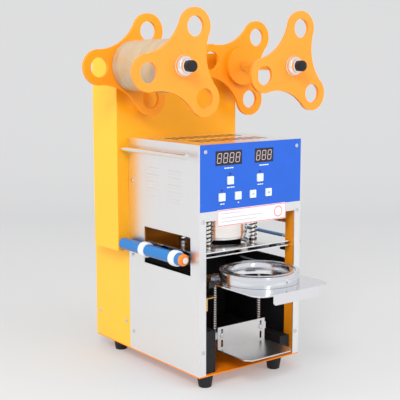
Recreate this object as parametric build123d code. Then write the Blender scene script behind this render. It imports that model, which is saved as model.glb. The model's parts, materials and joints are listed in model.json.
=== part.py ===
from build123d import *
import math
import os

# Cup sealing machine. Millimetres, +Z up, +X to the operator's right, the operator stands at -Y.
# The model is drawn with X = 0 on the body's middle plane, Y = 0 on the body's front face and
# Z = 0 on the bench. Export moves it so that the origin is under the middle of the whole box.

# Driving dimensions ------------------------------------------------------------------------
BODY_W = 215.0
BODY_D = 200.0
FOOT_H = 20.0
TRAY_T = 2.0
BODY_TOP = 392.0
PANEL_BOTTOM = 287.0
SKIN_T = 1.2
WALL_T = 2.0
TOWER_W = 259.0
TOWER_BACK = 277.0
TOWER_TOP = 534.0
TOWER_FLOOR = 197.0
HOUSING_BACK = 312.0
FILM_MID_Y = 88.0
WINDOW_Y = (23.0, 153.0)
WINDOW_Z = (183.0, 245.0)
OPENING_HALF_W = 94.0
OPENING_TOP = 272.0
SPINDLE_X = 114.5
SPINDLE_Z = 512.0
REEL_FRONT_Y = 33.0
REEL_BACK_Y = 173.0
REEL_T = 6.0
REEL_HOLE_CIRCLE = 65.0
REEL_HOLE_R = 16.0
REEL_LOBE_R = 29.0
REEL_WAIST = 45.5
REEL_ANGLES = {
    "left_front": 69.0,
    "left_back": 62.0,
    "right_front": 74.0,
    "right_back": 52.0,
}
ROLLER_X = 121.0
ROLLER_Z = 210.5
GUIDE_ROD_Z = 373.5
DRAWER_PLATE_Z = 168.0
DRAWER_PLATE_T = 2.0
DRAWER_HALF_W = 77.5
DRAWER_FRONT_Y = -108.0
DRAWER_REAR_Y = 58.0
RING_MID_Y = -19.0
RING_OUTER_R = 65.5
RING_BORE_R = 47.5
RING_H = 18.0
HEAD_R = 49.0
HEAD_BOTTOM_Z = 226.0
HEAD_STROKE = 36.0
CAM_Z = 308.4
CAM_TURN_DEG = 170.0
CAM_T = 12.0
FOLLOWER_R = 9.0
FOLLOWER_Z = 287.0
CAM_GAP = 0.35
POST_X = 48.0
POST_Y = (53.0, 123.0)
SHAFT_R = 8.0
INLET_FLANGE_T = 2.5
SCREW_HOLE_R = 1.7
LOUVRE_COLUMNS_Y = (64.0, 127.5)
LOUVRE_TOP_Z = 344.0
LOUVRE_PITCH = 11.5
LOUVRE_COUNT = 5
LOUVRE_SIZE = (39.0, 5.6)
LOUVRE_PROUD = 1.0
DUCT_INNER_X = 70.0
DUCT_OUTER_X = 90.5
DUCT_FRONT_Y = 5.8
DUCT_TOPS = (92.0, 55.0)
LIP_BACK_Y = 22.0

HALF_W = BODY_W / 2
TRAY_TOP = FOOT_H + TRAY_T
TOWER_HALF_W = TOWER_W / 2
WALL_IN = HALF_W - SKIN_T - WALL_T

parts = {}
body_screws = []


def block(x0, x1, y0, y1, z0, z1):
    """An axis-aligned block between two corners."""
    return Pos((x0 + x1) / 2, (y0 + y1) / 2, (z0 + z1) / 2) * Box(x1 - x0, y1 - y0, z1 - z0)


def rod_z(r, x, y, z0, z1):
    """A cylinder along Z."""
    return Pos(x, y, (z0 + z1) / 2) * Cylinder(r, z1 - z0)


def rod_y(r, x, z, y0, y1):
    """A cylinder along Y."""
    return Pos(x, (y0 + y1) / 2, z) * Rot(90, 0, 0) * Cylinder(r, y1 - y0)


def rod_x(r, y, z, x0, x1):
    """A cylinder along X."""
    return Pos((x0 + x1) / 2, y, z) * Rot(0, 90, 0) * Cylinder(r, x1 - x0)


def tube_y(r_out, r_in, x, z, y0, y1):
    """A tube along Y."""
    return rod_y(r_out, x, z, y0, y1) - rod_y(r_in, x, z, y0 - 1, y1 + 1)


def tube_z(r_out, r_in, x, y, z0, z1):
    """A tube along Z."""
    return rod_z(r_out, x, y, z0, z1) - rod_z(r_in, x, y, z0 - 1, z1 + 1)


def group(solids):
    """Several separate solids kept in one node."""
    return Compound(children=[piece for item in solids for piece in item.solids()])


def dome_screw_y(x, z, face_y, r=3.4, h=1.6, shank_r=1.5, shank=6.0):
    """A domed screw whose head lies on a face that looks towards -Y."""
    head = rod_y(r, x, z, face_y - h, face_y)
    head = fillet(head.edges().filter_by(GeomType.CIRCLE).sort_by(Axis.Y)[0], h * 0.6)
    cross = block(x - 1.6, x + 1.6, face_y - h - 1, face_y - h + 0.7, z - 0.3, z + 0.3)
    cross += block(x - 0.3, x + 0.3, face_y - h - 1, face_y - h + 0.7, z - 1.6, z + 1.6)
    return head + rod_y(shank_r, x, z, face_y, face_y + shank) - cross


def turned(screw, about, degrees):
    """The same screw turned about the vertical through a point, to sit on another face."""
    return Pos(*about) * Rot(0, 0, degrees) * Pos(-about[0], -about[1], -about[2]) * screw


def reel_plate(x, y, angle):
    """A three-lobed reel plate: lobes round three holes, joined by concave sides."""
    hub_to_lobe = REEL_HOLE_CIRCLE
    half_gap = hub_to_lobe * math.sin(math.radians(60))
    to_mid = hub_to_lobe * math.cos(math.radians(60))
    # The concave side touches both lobes and passes the hub at the waist distance.
    # side_r solves (waist + r - to_mid)^2 + half_gap^2 = (r + lobe)^2.
    reach = REEL_WAIST - to_mid
    side_r = (reach**2 + half_gap**2 - REEL_LOBE_R**2) / (2 * (REEL_LOBE_R - reach))
    lobes = Sketch()
    cuts = Sketch()
    for turn in (0, 120, 240):
        lobe_at = Rot(0, 0, turn) * Pos(hub_to_lobe, 0)
        lobes += lobe_at * Circle(REEL_LOBE_R)
        cuts += Rot(0, 0, turn + 60) * Pos(REEL_WAIST + side_r, 0) * Circle(side_r)
    sketch = Sketch() + Circle(hub_to_lobe) - cuts + lobes
    for turn in (0, 120, 240):
        sketch -= Rot(0, 0, turn) * Pos(hub_to_lobe, 0) * Circle(REEL_HOLE_R)
    sketch -= Circle(SHAFT_R)
    plate = extrude(sketch, REEL_T)
    plate = Pos(0, 0, -REEL_T / 2) * plate
    # Turning +90 about X carries the sketch's Y up to +Z, seen from the front.
    return Pos(x, y, SPINDLE_Z) * Rot(90, 0, 0) * Rot(0, 0, angle) * plate


# Base ----------------------------------------------------------------------------------------
FEET_AT = [(-86.0, 13.0), (62.0, 13.0), (-87.0, 262.0), (87.0, 262.0)]


def make_base():
    """The tray, the four feet and their screws."""
    tray = block(-HALF_W, HALF_W, 0, HOUSING_BACK, FOOT_H, TRAY_TOP)
    for x, y in FEET_AT:
        tray -= rod_z(2.6, x, y, 0, 40)
    parts["base_tray"] = tray
    feet = []
    screws = []
    for x, y in FEET_AT:
        foot = Pos(x, y, FOOT_H / 2) * Cone(10.5, 13.5, FOOT_H)
        foot -= rod_z(2.6, x, y, 0, FOOT_H + 1)
        foot -= rod_z(5.2, x, y, -1, 8)
        feet.append(foot)
        screws.append(rod_z(4.6, x, y, 5.0, 8.0) + rod_z(2.4, x, y, 8.0, 27.0))
    parts["feet"] = group(feet)
    body_screws.extend(screws)


# Body: inner chassis, stainless skins ---------------------------------------------------------
SIDE_SCREWS = [(188.0, 320.0), (188.0, 189.5), (188.0, 54.0)]
FRAME_SCREWS = [(sx * 100.0, z) for sx in (-1, 1) for z in (272.0, 61.0)]
PANEL_SCREWS = [(sx * 96.0, 381.0) for sx in (-1, 1)]


def window_cut(x0, x1, margin=0.0):
    """The film window through one side wall."""
    y0, y1 = WINDOW_Y
    z0, z1 = WINDOW_Z
    return block(x0, x1, y0 - margin, y1 + margin, z0 - margin, z1 + margin)


def louvre_places():
    """The middles of one side's louvres, as (y, z)."""
    rows = [LOUVRE_TOP_Z - LOUVRE_PITCH * index for index in range(LOUVRE_COUNT)]
    return [(y, z) for y in LOUVRE_COLUMNS_Y for z in rows]


def louvre(side, y, z):
    """A pressed louvre that stands proud of one side's skin."""
    length, height = LOUVRE_SIZE
    pressed = extrude(SlotOverall(length, height, rotation=90), LOUVRE_PROUD)
    pressed = chamfer(pressed.faces().sort_by(Axis.Z)[-1].edges(), LOUVRE_PROUD * 0.6)
    return Pos(side * HALF_W, y, z) * Rot(0, 90 * side, 0) * pressed


def louvre_slit(side, inner, y, z):
    """The way through a louvre: from the wall's inner face out, then down under its hood."""
    half = LOUVRE_SIZE[0] / 2 - 4.0
    skin_face = side * HALF_W
    hood_inside = side * (HALF_W + LOUVRE_PROUD / 2)
    x0, x1 = sorted((side * inner, skin_face))
    through = block(x0, x1, y - half, y + half, z - 2.4, z - 0.6)
    x0, x1 = sorted((skin_face, hood_inside))
    return through + block(x0, x1, y - half, y + half, z - LOUVRE_SIZE[1], z - 0.6)


def make_body():
    """The U-shaped chassis, its stainless skins and cover, and their screws."""
    edge = HALF_W - SKIN_T
    chassis_back = BODY_D - 4.2
    walls = []
    for name, side in (("left", -1), ("right", 1)):
        x0, x1 = sorted((side * HALF_W, side * edge))
        skin = block(x0, x1, 0, BODY_D - 0.3, TRAY_TOP, BODY_TOP)
        skin -= window_cut(x0 - 1, x1 + 1)
        w0, w1 = sorted((side * edge, side * WALL_IN))
        wall = block(w0, w1, 1.6, chassis_back, TRAY_TOP, BODY_TOP - SKIN_T)
        flange0, flange1 = sorted((side * OPENING_HALF_W, side * edge))
        wall += block(flange0, flange1, 1.6, 3.6, TRAY_TOP, BODY_TOP - SKIN_T)
        lip0, lip1 = sorted((side * OPENING_HALF_W, side * (OPENING_HALF_W + WALL_T)))
        wall += block(lip0, lip1, 3.6, LIP_BACK_Y, TRAY_TOP, OPENING_TOP)
        wall -= window_cut(w0 - 1, w1 + 1, 1.5)
        for y, z in SIDE_SCREWS:
            skin -= rod_x(SCREW_HOLE_R, y, z, x0 - 1, x1 + 1)
            wall -= rod_x(SCREW_HOLE_R, y, z, w0 - 1, w1 + 1)
        # Each louvre is open under its lower edge, through the skin and the wall.
        for y, z in louvre_places():
            skin += louvre(side, y, z)
            slit = louvre_slit(side, WALL_IN - 1, y, z)
            skin -= slit
            wall -= slit
        parts[f"{name}_side_panel"] = skin
        walls.append(wall)
    # The front face is three pieces: the frame round the opening, the blue panel and its label.
    frame = block(-edge, edge, 0, 1.5, TRAY_TOP, PANEL_BOTTOM)
    frame -= block(-OPENING_HALF_W, OPENING_HALF_W, -1, 3, TRAY_TOP - 1, OPENING_TOP)
    for x, z in FRAME_SCREWS:
        frame -= rod_y(SCREW_HOLE_R, x, z, -1, 3)
    parts["front_frame"] = frame
    cover = block(-edge, edge, 1.6, BODY_D - 0.3, BODY_TOP - SKIN_T, BODY_TOP)
    for row_y in (62.0, 128.0):
        for index in range(10):
            x = (index - 4.5) * 15.0
            slot = extrude(SlotOverall(40.0, 6.5, rotation=90), 4)
            cover -= Pos(x, row_y, BODY_TOP - SKIN_T - 1) * slot
    parts["top_cover"] = cover
    back = block(-edge, edge, chassis_back, chassis_back + WALL_T, TRAY_TOP, BODY_TOP - SKIN_T)
    back -= rod_y(10.0, 0, CAM_Z, 190, 205)
    back -= block(-30, 30, 190, 205, 60, 110)
    # One sheet folded into a U: two side walls with front flanges and return lips, and the rear wall.
    chassis = walls[0] + walls[1] + back
    for x, z in FRAME_SCREWS + PANEL_SCREWS:
        chassis -= rod_y(SCREW_HOLE_R, x, z, 1, 5)
    parts["inner_chassis"] = chassis
    body_screws.extend(dome_screw_y(x, z, 0, shank=5.5) for x, z in FRAME_SCREWS + PANEL_SCREWS)
    for side in (-1, 1):
        for y, z in SIDE_SCREWS:
            at = (side * HALF_W, y, z)
            screw = dome_screw_y(at[0], z, y, shank=5.0)
            body_screws.append(turned(screw, at, 90 * side))
    # A wiring duct stands by each wall: a front, two sides and a top, open below and behind.
    ducts = []
    for side, top in zip((-1, 1), DUCT_TOPS):
        d0, d1 = sorted((side * DUCT_INNER_X, side * DUCT_OUTER_X))
        duct = block(d0, d1, DUCT_FRONT_Y, chassis_back - 0.3, TRAY_TOP, top)
        i0, i1 = sorted((side * (DUCT_INNER_X + SKIN_T), side * (DUCT_OUTER_X - SKIN_T)))
        duct -= block(i0, i1, DUCT_FRONT_Y + SKIN_T, chassis_back + 1, TRAY_TOP - 1, top - SKIN_T)
        ducts.append(duct)
    parts["wiring_ducts"] = group(ducts)


# Control panel --------------------------------------------------------------------------------
DISPLAYS = {"time_display": (-49.0, 54.0), "temperature_display": (24.5, 40.0)}
DISPLAY_Z = (358.0, 381.0)
BUTTONS = {
    "mode_button": (-46.0, 333.5),
    "manual_button": (16.0, 333.5),
    "set_button": (-63.0, 308.0),
    "reset_button": (-30.0, 308.0),
    "minus_button": (1.0, 308.0),
    "plus_button": (34.5, 308.0),
}
BUTTON_SIZE = 13.0
BUTTON_GAP = 0.4
BUTTON_PROUD = 1.8
LAMPS = [(-46.0, 344.0), (16.0, 344.0), (-63.0, 318.5)]
PANEL_T = 1.5
BOARD_Y = (13.0, 14.6)


def make_controls():
    """The control panel with its displays, keys, lamps, circuit board and label."""
    edge = HALF_W - SKIN_T
    panel = block(-edge, edge, 0, PANEL_T, PANEL_BOTTOM, BODY_TOP)
    for x, width in DISPLAYS.values():
        panel -= block(x - width / 2, x + width / 2, -1, 3, *DISPLAY_Z)
    hole = BUTTON_SIZE / 2 + BUTTON_GAP
    for x, z in BUTTONS.values():
        panel -= block(x - hole, x + hole, -1, 3, z - hole, z + hole)
    for x, z in LAMPS:
        panel -= rod_y(1.5, x, z, -1, 3)
    for x, z in PANEL_SCREWS:
        panel -= rod_y(SCREW_HOLE_R, x, z, -1, 3)
    parts["control_panel"] = panel
    for name, (x, width) in DISPLAYS.items():
        z0, z1 = DISPLAY_Z
        lens = block(x - width / 2 + 0.1, x + width / 2 - 0.1, 0.3, 9.0, z0 + 0.1, z1 - 0.1)
        lens += block(x - width / 2 + 3, x + width / 2 - 3, 9.0, BOARD_Y[0], z0 + 3, z1 - 3)
        parts[name] = lens
    half = BUTTON_SIZE / 2
    for name, (x, z) in BUTTONS.items():
        cap = block(x - half, x + half, -BUTTON_PROUD, 4.0, z - half, z + half)
        cap = fillet(cap.edges().filter_by(Axis.Y), 1.2)
        cap = chamfer(cap.faces().sort_by(Axis.Y)[0].edges(), 0.4)
        flange = block(x - half - 1.2, x + half + 1.2, 3.0, 4.0, z - half - 1.2, z + half + 1.2)
        stem = rod_y(1.7, x, z, 4.0, 8.0)
        parts[name] = cap + flange + stem
    lamps = [rod_y(1.45, x, z, -0.6, BOARD_Y[0]) for x, z in LAMPS]
    parts["indicator_lamps"] = group(lamps)
    board = block(-88, 88, *BOARD_Y, 294, 386)
    spots = [(-82, 300), (82, 300), (-82, 350), (82, 350)]
    for x, z in spots:
        board -= rod_y(1.6, x, z, 10, 20)
    switches = [block(x - 3, x + 3, 9.4, BOARD_Y[0], z - 3, z + 3) for x, z in BUTTONS.values()]
    parts["control_board"] = group([board] + switches)
    for x, z in spots:
        body_screws.append(rod_y(3.0, x, z, PANEL_T, BOARD_Y[0]) + rod_y(1.5, x, z, BOARD_Y[0], 17))
    label = block(-73, 73, -1.0, -0.02, 261, 288)
    label = fillet(label.edges().filter_by(Axis.Y), 2.0)
    parts["label_plate"] = label


# Rear tower and lower housing ---------------------------------------------------------------------
HOUSING_SCREWS = [(210.0, 68.0), (298.0, 68.0)]


def make_tower():
    """The reel tower's front plate and shell, and the lower housing under it."""
    plate_half = TOWER_HALF_W - 0.2
    front = block(-plate_half, plate_half, BODY_D, BODY_D + WALL_T, TOWER_FLOOR, TOWER_TOP - WALL_T - 0.2)
    for side in (-1, 1):
        front -= rod_y(SHAFT_R + 5.0, side * SPINDLE_X, SPINDLE_Z, 190, 210)
        front -= rod_y(2.5, side * ROLLER_X, ROLLER_Z, 190, 210)
        front -= rod_y(2.5, side * ROLLER_X, GUIDE_ROD_Z, 190, 210)
    front -= rod_y(10.0, 0, CAM_Z, 190, 210)
    # Openings that let the wiring and air pass from the body to the tower.
    front -= block(-60, 60, 190, 210, 340, 380)
    parts["tower_front"] = front
    shell = block(-TOWER_HALF_W, TOWER_HALF_W, BODY_D, TOWER_BACK, TOWER_FLOOR, TOWER_TOP)
    shell = fillet(shell.edges().filter_by(Axis.Y).sort_by(Axis.Z)[-2:], 3.0)
    hollow = block(
        -TOWER_HALF_W + WALL_T, TOWER_HALF_W - WALL_T, BODY_D - 1, TOWER_BACK - WALL_T,
        TOWER_FLOOR + WALL_T, TOWER_TOP - WALL_T,
    )
    shell -= hollow
    # The front plate sits inside the shell's front edge and covers the edge of its floor.
    floor_edge = (BODY_D - 1, BODY_D + WALL_T, TOWER_FLOOR - 1, TOWER_FLOOR + WALL_T)
    shell -= block(-TOWER_HALF_W - 1, TOWER_HALF_W + 1, *floor_edge)
    shell -= block(-plate_half, plate_half, BODY_D - 1, BODY_D + WALL_T, TOWER_FLOOR - 1, TOWER_TOP - WALL_T)
    # A hatch joins the tower's inside to the lower housing, and louvres let the motor's heat out.
    shell -= block(-70, 70, 215, 265, TOWER_FLOOR - 1, TOWER_FLOOR + WALL_T + 1)
    for index in range(8):
        z = 300.0 + index * 12.0
        shell -= Pos(0, TOWER_BACK, z) * Rot(90, 0, 0) * extrude(SlotOverall(90.0, 4.5), 8, both=True)
    for side in (-1, 1):
        for z in (TOWER_TOP - 24, TOWER_FLOOR + 24):
            shell -= rod_y(SCREW_HOLE_R, side * 112, z, TOWER_BACK - 5, TOWER_BACK + 2)
    parts["tower_shell"] = shell
    inner = HALF_W - WALL_T
    housing = block(-HALF_W, HALF_W, BODY_D, HOUSING_BACK - WALL_T, TRAY_TOP, TOWER_FLOOR)
    housing -= block(-inner, inner, BODY_D - 1, HOUSING_BACK, TRAY_TOP - 1, TOWER_FLOOR - WALL_T)
    housing -= block(-70, 70, 215, 265, TOWER_FLOOR - WALL_T - 1, TOWER_FLOOR + 1)
    for side in (-1, 1):
        x0, x1 = sorted((side * (HALF_W - 4), side * (HALF_W + 1)))
        for y, z in HOUSING_SCREWS:
            housing -= rod_x(SCREW_HOLE_R, y, z, x0, x1)
            at = (side * HALF_W, y, z)
            body_screws.append(turned(dome_screw_y(at[0], z, y, shank=4.0), at, 90 * side))
    parts["lower_housing"] = housing


INLET_AT = (-62.0, 66.0)
SWITCH_AT = (-12.0, 66.0)
ROCKER_TILT = 8.0
ROCKER_PIVOT_Y = 307.5
REAR_SCREWS = [(sx * 98.0, z) for sx in (-1, 1) for z in (34.0, 183.0)]


def make_rear_cover():
    """The rear cover with its louvres, the mains inlet, the rocker switch and the power supply."""
    cover = block(-HALF_W, HALF_W, HOUSING_BACK - WALL_T, HOUSING_BACK, TRAY_TOP, TOWER_FLOOR)
    for index in range(7):
        z = 112.0 + index * 9.0
        cover -= Pos(0, HOUSING_BACK, z) * Rot(90, 0, 0) * extrude(SlotOverall(110.0, 4.0), 8, both=True)
    ix, iz = INLET_AT
    sx, sz = SWITCH_AT
    cover -= block(ix - 14, ix + 14, 300, 320, iz - 10.5, iz + 10.5)
    cover -= block(sx - 6.6, sx + 6.6, 300, 320, sz - 11, sz + 11)
    for x, z in REAR_SCREWS:
        cover -= rod_y(SCREW_HOLE_R, x, z, 300, 320)
    parts["rear_cover"] = cover
    for x, z in REAR_SCREWS:
        screw = dome_screw_y(x, z, HOUSING_BACK, shank=8.0)
        body_screws.append(turned(screw, (x, HOUSING_BACK, z), 180))
    inlet = block(ix - 13.8, ix + 13.8, 292, HOUSING_BACK, iz - 10.3, iz + 10.3)
    inlet += block(ix - 24, ix + 24, HOUSING_BACK, HOUSING_BACK + INLET_FLANGE_T, iz - 12, iz + 12)
    socket = block(ix - 11.8, ix + 11.8, 297, HOUSING_BACK + 5, iz - 8.2, iz + 8.2)
    socket = chamfer(socket.edges().filter_by(Axis.Y).sort_by(Axis.Z)[:2], 4.0)
    inlet -= socket
    for dx in (-7, 0, 7):
        z0 = iz + (-3 if dx else -1)
        inlet += block(ix + dx - 1, ix + dx + 1, 296, HOUSING_BACK - 2, z0, z0 + 4)
    parts["power_inlet"] = inlet
    bezel = block(sx - 6.5, sx + 6.5, 297, HOUSING_BACK, sz - 10.9, sz + 10.9)
    bezel += block(sx - 8, sx + 8, HOUSING_BACK, HOUSING_BACK + 1.6, sz - 13, sz + 13)
    bezel -= block(sx - 5.3, sx + 5.3, 301, HOUSING_BACK + 4, sz - 9.6, sz + 9.6)
    bezel -= rod_x(1.05, ROCKER_PIVOT_Y, sz, sx - 6.0, sx + 6.0)
    parts["switch_bezel"] = bezel
    # The rocker is a lens shape about its pivot, so that it stays inside the bezel at both ends.
    rocker = rod_x(9.0, ROCKER_PIVOT_Y, sz, sx - 5.0, sx + 5.0)
    rocker &= block(sx - 5, sx + 5, 304.5, 312.9, sz - 9, sz + 9)
    rocker -= rod_x(30.0, HOUSING_BACK + 30.7, sz, sx - 6, sx + 6)
    rocker += rod_x(1.0, ROCKER_PIVOT_Y, sz, sx - 5.9, sx + 5.9)
    pivot = Pos(sx, ROCKER_PIVOT_Y, sz)
    parts["power_rocker"] = pivot * Rot(-ROCKER_TILT, 0, 0) * Pos(-sx, -ROCKER_PIVOT_Y, -sz) * rocker
    parts["power_supply"] = block(10, 80, 222, 300, TRAY_TOP, 82)


# Drawer --------------------------------------------------------------------------------------------
RING_SCREW_X = 58.0
HANGER_X = 48.0
HANGER_Y = 37.0
HANGER_R = 3.95
CLAMP_SCREW_X = 42.0
REST_FRONT_Y = -52.0
REST_PLATE_Y = (24.0, 26.0)
REST_Z = (49.0, 88.0)
RAIL_Y = (5.0, 194.0)


def make_drawer():
    """The pull-out plate, its cup ring, the hanging cup rest and the rails."""
    z0 = DRAWER_PLATE_Z
    z1 = z0 + DRAWER_PLATE_T
    plate = block(-DRAWER_HALF_W, DRAWER_HALF_W, DRAWER_FRONT_Y, DRAWER_REAR_Y, z0, z1)
    plate = fillet(plate.edges().filter_by(Axis.Z).sort_by(Axis.Y)[:2], 22.0)
    lip = block(-47.5, 47.5, DRAWER_FRONT_Y, DRAWER_FRONT_Y + DRAWER_PLATE_T, z0 - 15.0, z0 + 0.5)
    lip = fillet(lip.edges().filter_by(Axis.Y).sort_by(Axis.Z)[:2], 4.0)
    plate += lip
    plate = plate - rod_z(50.0, 0, RING_MID_Y, z0 - 2, z1 + 2)
    for side in (-1, 1):
        plate -= rod_z(1.6, side * RING_SCREW_X, RING_MID_Y, z0 - 2, z1 + 2)
        plate -= rod_z(HANGER_R + 0.05, side * HANGER_X, HANGER_Y, z0 - 2, z1 + 2)
    parts["drawer_plate"] = plate
    # Cup ring: a turned ring with a chamfered rim, a shallow groove in its face and a pin hole.
    face_z = RING_H - 1.0
    profile = Polyline(
        (RING_BORE_R, 0),
        (RING_OUTER_R, 0),
        (RING_OUTER_R, RING_H - 1.2),
        (RING_OUTER_R - 1.2, RING_H),
        (RING_OUTER_R - 7.0, RING_H),
        (RING_OUTER_R - 7.8, face_z),
        (RING_OUTER_R - 10.5, face_z),
        (RING_OUTER_R - 11.3, RING_H),
        (RING_BORE_R + 2.6, RING_H),
        (RING_BORE_R, RING_H - 3.4),
        (RING_BORE_R, 0),
    )
    ring = revolve(Plane.XZ * make_face(profile), Axis.Z)
    ring = Pos(0, RING_MID_Y, z1) * ring
    ring -= rod_y(1.3, 0, z1 + 8.0, RING_MID_Y - RING_OUTER_R - 1, RING_MID_Y - RING_OUTER_R + 5)
    fasteners = []
    for side in (-1, 1):
        x = side * RING_SCREW_X
        ring -= rod_z(1.6, x, RING_MID_Y, z1 - 1, z1 + 10)
        fasteners.append(rod_z(1.5, x, RING_MID_Y, z0, z1 + 9) + rod_z(3.2, x, RING_MID_Y, z0 - 2, z0))
    parts["cup_ring"] = ring
    rods = []
    for side in (-1, 1):
        x = side * HANGER_X
        rods.append(rod_z(HANGER_R, x, HANGER_Y, REST_Z[0] + 4, z1 + 6))
        for nut_z in (z0 - 4, z1):
            nut = Pos(x, HANGER_Y, nut_z) * extrude(RegularPolygon(7.4, 6), 4)
            fasteners.append(nut - rod_z(HANGER_R + 0.02, x, HANGER_Y, nut_z - 1, nut_z + 5))
    parts["hanger_rods"] = group(rods)
    rest = block(-51, 51, *REST_PLATE_Y, *REST_Z)
    leg = block(-51, 51, REST_FRONT_Y, REST_PLATE_Y[0] + 0.5, REST_Z[0], REST_Z[0] + 2)
    leg = chamfer(leg.edges().filter_by(Axis.Z).sort_by(Axis.Y)[:2], 10.0)
    rest += leg
    for side in (-1, 1):
        for z in (REST_Z[0] + 11.0, REST_Z[0] + 29.0):
            slot = extrude(SlotOverall(13.0, 4.4, rotation=90), 12, both=True)
            rest -= Pos(side * CLAMP_SCREW_X, 25, z) * Rot(90, 0, 0) * slot
    parts["cup_rest"] = rest
    for side in (-1, 1):
        x0, x1 = sorted((side * 36, side * 55))
        clamp = block(x0, x1, REST_PLATE_Y[1], HANGER_Y + 6, 68, 80)
        clamp -= rod_z(HANGER_R + 0.05, side * HANGER_X, HANGER_Y, 60, 90)
        clamp -= rod_y(1.9, side * CLAMP_SCREW_X, 74.0, 20, 34)
        fasteners.append(clamp)
        at_x = side * CLAMP_SCREW_X
        fasteners.append(dome_screw_y(at_x, 74.0, REST_PLATE_Y[0], r=4.2, h=2.4, shank_r=1.85, shank=9.0))
    parts["drawer_fasteners"] = group(fasteners)
    # Channel rails on the chassis walls hold the plate's edges, with a running gap all round.
    rails = []
    for side in (-1, 1):
        x0, x1 = sorted((side * 72.0, side * 84.0))
        rail = block(x0, x1, *RAIL_Y, z0 - 5, z1 + 4)
        g0, g1 = sorted((side * 71.0, side * (DRAWER_HALF_W + 0.35)))
        rail -= block(g0, g1, RAIL_Y[0] - 1, RAIL_Y[1] + 1, z0 - 0.35, z1 + 0.35)
        # The ring passes over the rail, so its upper lip stops short of it.
        c0, c1 = sorted((side * 70.0, side * 74.0))
        rail -= block(c0, c1, RAIL_Y[0] - 1, RAIL_Y[1] + 1, z1, z1 + 5)
        b0, b1 = sorted((side * 84.0, side * WALL_IN))
        for y in (24.0, 170.0):
            rail += block(b0, b1, y, y + 16, z0 - 4, z1 + 3)
        rails.append(rail)
    parts["drawer_rails"] = group(rails)


# Press head, posts and cam drive -----------------------------------------------------------------------
FILM_PLATE_Z = ((211.0, 213.0), (218.0, 220.0))
FILM_PLATE_HOLE_R = 51.5
CROSSHEAD_Z = (268.0, 275.0)
BRIDGE_Z = (362.0, 365.0)
POST_R = 4.0
SHELF_HALF_W = 102.0


def cam_profile():
    """A cam that pushes its roller down by the same step for each degree that it turns.

    The roller's middle follows a spiral, and the cam's edge is that spiral moved inwards
    by the roller's radius and the gap.
    """
    start_r = CAM_Z - FOLLOWER_Z
    rise = HEAD_STROKE / math.radians(CAM_TURN_DEG)
    inset = FOLLOWER_R + CAM_GAP
    edge = []
    for index in range(25):
        turn = math.radians(CAM_TURN_DEG + 12.0) * index / 24
        angle = -math.pi / 2 - turn
        radius = start_r + rise * turn
        slope = math.atan2(rise, radius)
        edge.append(
            (
                radius * math.cos(angle) - inset * math.cos(angle + slope),
                radius * math.sin(angle) - inset * math.sin(angle + slope),
            )
        )
    heel = (0.0, inset - start_r)
    bend = math.atan2(edge[0][1] + start_r, edge[0][0])
    halfway = (bend + math.pi / 2) / 2
    pocket = (inset * math.cos(halfway), inset * math.sin(halfway) - start_r)
    outline = Spline(*edge)
    outline += ThreePointArc(edge[-1], (31.0, -2.0), heel)
    outline += ThreePointArc(heel, pocket, edge[0])
    return make_face(outline)


def head_bolt_places():
    """The four bolts that hold the head under the crosshead, as (x, y)."""
    turns = [math.radians(angle) for angle in (45, 135, 225, 315)]
    return [(40 * math.cos(turn), FILM_MID_Y + 40 * math.sin(turn)) for turn in turns]


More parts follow.
